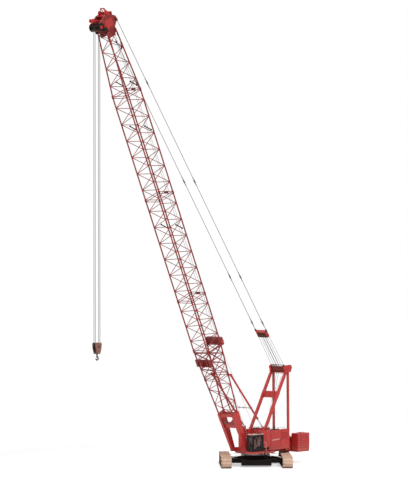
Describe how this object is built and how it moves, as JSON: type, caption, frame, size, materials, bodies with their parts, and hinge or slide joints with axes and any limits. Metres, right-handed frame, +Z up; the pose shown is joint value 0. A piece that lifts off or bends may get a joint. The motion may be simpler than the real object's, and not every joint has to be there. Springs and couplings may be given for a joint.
{
  "type": "scale model of a lattice-boom crawler crane",
  "caption": "Half-size crawler crane with swinging upperworks, luffing lattice boom, pendants, boom stops, operator's cab and a hoisted hook.",
  "frame": {"origin": "on the ground under the swing axis", "axes": "+X the way the boom points at rest, +Y to the machine's left, +Z up"},
  "size_m": [16.1075, 5.979, 24.8586],
  "materials": {
    "crane_red": "semi-gloss",
    "black_paint": "satin",
    "track_steel": "matte",
    "sheave_steel": "satin",
    "rope_steel": "satin",
    "bright_steel": "polished",
    "window_glass": "gloss",
    "seat_fabric": "matte",
    "dark_plastic": "matte",
    "hook_steel": "satin",
    "pale_paint": "satin",
    "hook_red": "satin",
    "grey_steel": "satin"
  },
  "bodies": {
    "undercarriage": {"left_track": "track_steel", "right_track": "track_steel", "left_track_frame": "black_paint", "right_track_frame": "black_paint", "carbody": "black_paint", "front_carbody_weight": "black_paint", "rear_carbody_weight": "black_paint", "swing_ring": "grey_steel"},
    "upperworks": {"rotating_bed": "crane_red", "engine": "grey_steel", "left_enclosure": "crane_red", "right_enclosure": "crane_red", "counterweight_tray": "crane_red", "left_counterweight_slabs": "crane_red", "right_counterweight_slabs": "crane_red", "center_counterweight": "crane_red", "gantry_front_legs": "crane_red", "gantry_rear_legs": "crane_red", "gantry_head": "crane_red", "cab_floor": "crane_red", "cab_roof": "pale_paint", "cab_front_panel": "crane_red", "cab_rear_panel": "crane_red", "cab_inner_panel": "crane_red", "cab_outer_panel": "crane_red", "cab_glass": "window_glass", "operator_seat": "seat_fabric", "control_console": "dark_plastic"},
    "main_hoist_drum": {"main_hoist_drum": "grey_steel"},
    "auxiliary_hoist_drum": {"auxiliary_hoist_drum": "grey_steel"},
    "boom_hoist_drum": {"boom_hoist_drum": "grey_steel"},
    "left_enclosure_door": {"left_enclosure_door": "crane_red"},
    "right_enclosure_door": {"right_enclosure_door": "crane_red"},
    "cab_door": {"cab_door": "crane_red", "cab_door_glass": "window_glass"},
    "gantry_sheaves": {"gantry_sheaves": "sheave_steel"},
    "gantry_rope_guard": {"gantry_rope_guard": "crane_red"},
    "equalizer": {"equalizer": "crane_red"},
    "equalizer_sheaves": {"equalizer_sheaves": "sheave_steel"},
    "boom": {"boom_foot_legs": "crane_red", "boom_lower_butt": "crane_red", "boom_upper_butt": "crane_red", "boom_insert_1": "crane_red", "boom_insert_2": "crane_red", "boom_insert_3": "crane_red", "boom_top_section": "crane_red", "boom_head": "crane_red", "boom_rope_guide": "black_paint", "boom_rear_box": "crane_red", "left_stop_tube": "crane_red", "right_stop_tube": "crane_red"},
    "pendants": {"pendants": "rope_steel"},
    "boom_head_sheaves": {"boom_head_sheaves": "sheave_steel"},
    "left_stop_rod": {"left_stop_rod": "bright_steel"},
    "right_stop_rod": {"right_stop_rod": "bright_steel"},
    "hoist_falls": {"hoist_falls": "rope_steel"},
    "hook_block": {"hook_block": "hook_red"},
    "hook_block_sheaves": {"hook_block_sheaves": "sheave_steel"},
    "hook": {"hook": "hook_steel"}
  },
  "joints": [
    {"name": "swing", "type": "hinge", "parent": "undercarriage", "child": "upperworks", "pos_m": [0, 0, 0.74], "axis": [0, 0, 1], "continuous": true},
    {"name": "boom_luff", "type": "hinge", "parent": "upperworks", "child": "boom", "pos_m": [1.3, 0, 0.95], "axis": [0, -1, 0], "range_deg": [-20.5, 16.5]},
    {"name": "pendant_swing", "type": "hinge", "parent": "boom", "child": "pendants", "pos_m": [11.48951, 0, 24.65923], "axis": [0, -1, 0], "range_deg": [-1.4, 1.2]},
    {"name": "gantry_guard_turn", "type": "hinge", "parent": "upperworks", "child": "gantry_rope_guard", "pos_m": [-2.05, 0, 5.35], "axis": [0, -1, 0], "range_deg": [-22, 17.8]},
    {"name": "equalizer_travel", "type": "slide", "parent": "gantry_rope_guard", "child": "equalizer", "axis": [0.5741, 0, 0.8188], "range_m": [-1.52, 1.88]},
    {"name": "gantry_sheave_turn", "type": "hinge", "parent": "upperworks", "child": "gantry_sheaves", "pos_m": [-2.05, 0, 5.35], "axis": [0, 1, 0], "continuous": true},
    {"name": "equalizer_sheave_turn", "type": "hinge", "parent": "equalizer", "child": "equalizer_sheaves", "pos_m": [-0.64341, 0, 7.35599], "axis": [0, 1, 0], "continuous": true},
    {"name": "left_stop_slide", "type": "slide", "parent": "boom", "child": "left_stop_rod", "axis": [-0.6561, 0, -0.7547], "range_m": [-0.47, 0.58]},
    {"name": "right_stop_slide", "type": "slide", "parent": "boom", "child": "right_stop_rod", "axis": [-0.6561, 0, -0.7547], "range_m": [-0.47, 0.58]},
    {"name": "head_sheave_turn", "type": "hinge", "parent": "boom", "child": "boom_head_sheaves", "pos_m": [12.54253, 0, 24.12439], "axis": [0, 1, 0], "continuous": true},
    {"name": "falls_hang", "type": "hinge", "parent": "boom", "child": "hoist_falls", "pos_m": [12.54253, 0, 24.12439], "axis": [0, -1, 0], "range_deg": [-16.6, 20.6]},
    {"name": "hook_hoist", "type": "slide", "parent": "hoist_falls", "child": "hook_block", "axis": [0, 0, 1], "range_m": [-1, 13.5], "deforming": ["hoist_falls"]},
    {"name": "block_sheave_turn", "type": "hinge", "parent": "hook_block", "child": "hook_block_sheaves", "pos_m": [12.54253, 0, 7.13], "axis": [0, 1, 0], "continuous": true},
    {"name": "hook_swivel", "type": "hinge", "parent": "hook_block", "child": "hook", "pos_m": [12.54253, 0, 6.83], "axis": [0, 0, 1], "continuous": true},
    {"name": "main_drum_turn", "type": "hinge", "parent": "upperworks", "child": "main_hoist_drum", "pos_m": [0.52, 0, 1.42], "axis": [0, 1, 0], "continuous": true},
    {"name": "auxiliary_drum_turn", "type": "hinge", "parent": "upperworks", "child": "auxiliary_hoist_drum", "pos_m": [-0.12, 0, 1.42], "axis": [0, 1, 0], "continuous": true},
    {"name": "boom_hoist_drum_turn", "type": "hinge", "parent": "upperworks", "child": "boom_hoist_drum", "pos_m": [-0.76, 0, 1.42], "axis": [0, 1, 0], "continuous": true},
    {"name": "cab_door_hinge", "type": "hinge", "parent": "upperworks", "child": "cab_door", "pos_m": [0.794, 1.264, 1.38], "axis": [0, 0, 1], "range_deg": [0, 110]},
    {"name": "left_enclosure_door_hinge", "type": "hinge", "parent": "upperworks", "child": "left_enclosure_door", "pos_m": [-0.344, 0.894, 1.45], "axis": [0, 0, -1], "range_deg": [0, 110]},
    {"name": "right_enclosure_door_hinge", "type": "hinge", "parent": "upperworks", "child": "right_enclosure_door", "pos_m": [-0.344, -0.894, 1.45], "axis": [0, 0, 1], "range_deg": [0, 110]}
  ],
  "couplings": [
    {"joint": "pendant_swing", "follows": "boom_luff", "ratio": 0.059},
    {"joint": "gantry_guard_turn", "follows": "boom_luff", "ratio": 1.06},
    {"joint": "equalizer_travel", "follows": "boom_luff", "m_per_rad": -5.2},
    {"joint": "left_stop_slide", "follows": "boom_luff", "m_per_rad": -1.58},
    {"joint": "right_stop_slide", "follows": "boom_luff", "m_per_rad": -1.58},
    {"joint": "falls_hang", "follows": "boom_luff", "ratio": -1}
  ]
}
